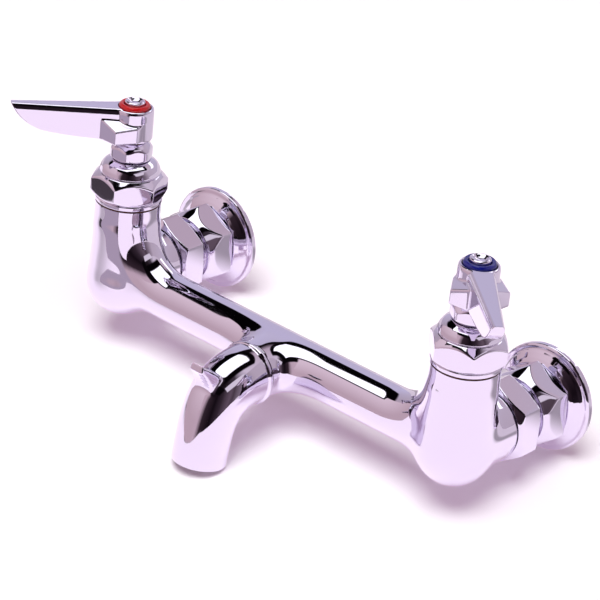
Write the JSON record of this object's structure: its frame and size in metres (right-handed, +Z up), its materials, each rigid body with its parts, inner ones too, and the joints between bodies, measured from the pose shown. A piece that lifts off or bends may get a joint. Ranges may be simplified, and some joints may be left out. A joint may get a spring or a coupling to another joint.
{
  "type": "commercial wall faucet",
  "caption": "Wall faucet with a cast bridge body between compression valves, lever handles with index rings, an elbow spout with a pail hook, and inlet shanks with wall flanges.",
  "frame": {"origin": "on the wall, midway between the inlet axes and at their height", "axes": "+X along the bridge towards the cold valve, +Y into the wall, +Z up; the spout points to -Y"},
  "size_m": [0.2843, 0.1285, 0.1283],
  "materials": {
    "chrome": "high polish",
    "brass": "turned",
    "rubber": "moulded",
    "fibre": "pressed vulcanised fibre",
    "graphite": "pressed graphited packing",
    "red_plastic": "glossy red",
    "blue_plastic": "glossy blue"
  },
  "bodies": {
    "faucet": {"faucet_body": "chrome", "spout": "chrome", "spout_gasket": "fibre", "hot_bonnet_washer": "fibre", "hot_bonnet": "chrome", "hot_packing_nut": "chrome", "hot_packing": "graphite", "hot_valve_seat": "brass", "hot_coupling_nut": "chrome", "hot_coupling_washer": "fibre", "hot_inlet_shank": "chrome", "hot_wall_flange": "chrome", "cold_bonnet_washer": "fibre", "cold_bonnet": "chrome", "cold_packing_nut": "chrome", "cold_packing": "graphite", "cold_valve_seat": "brass", "cold_coupling_nut": "chrome", "cold_coupling_washer": "fibre", "cold_inlet_shank": "chrome", "cold_wall_flange": "chrome"},
    "hot_stem": {"hot_washer_holder": "brass", "hot_seat_washer": "rubber", "hot_washer_screw": "brass"},
    "hot_lever": {"hot_spindle": "brass", "hot_handle": "chrome", "hot_index_ring": "red_plastic", "hot_handle_screw": "chrome"},
    "cold_stem": {"cold_washer_holder": "brass", "cold_seat_washer": "rubber", "cold_washer_screw": "brass"},
    "cold_lever": {"cold_spindle": "brass", "cold_handle": "chrome", "cold_index_ring": "blue_plastic", "cold_handle_screw": "chrome"}
  },
  "joints": [
    {"name": "hot_stem_rise", "type": "slide", "parent": "faucet", "child": "hot_stem", "axis": [0, 0, 1], "range_m": [0, 0.0025]},
    {"name": "hot_handle_turn", "type": "hinge", "parent": "hot_stem", "child": "hot_lever", "pos_m": [-0.1016, -0.066, 0.0785], "axis": [0, 0, 1], "range_deg": [0, 90]},
    {"name": "cold_stem_rise", "type": "slide", "parent": "faucet", "child": "cold_stem", "axis": [0, 0, 1], "range_m": [0, 0.0025]},
    {"name": "cold_handle_turn", "type": "hinge", "parent": "cold_stem", "child": "cold_lever", "pos_m": [0.1016, -0.066, 0.0785], "axis": [0, 0, -1], "range_deg": [0, 90]}
  ],
  "couplings": [
    {"joint": "hot_stem_rise", "follows": "hot_handle_turn", "m_per_rad": 0.0015915},
    {"joint": "cold_stem_rise", "follows": "cold_handle_turn", "m_per_rad": 0.0015915}
  ]
}
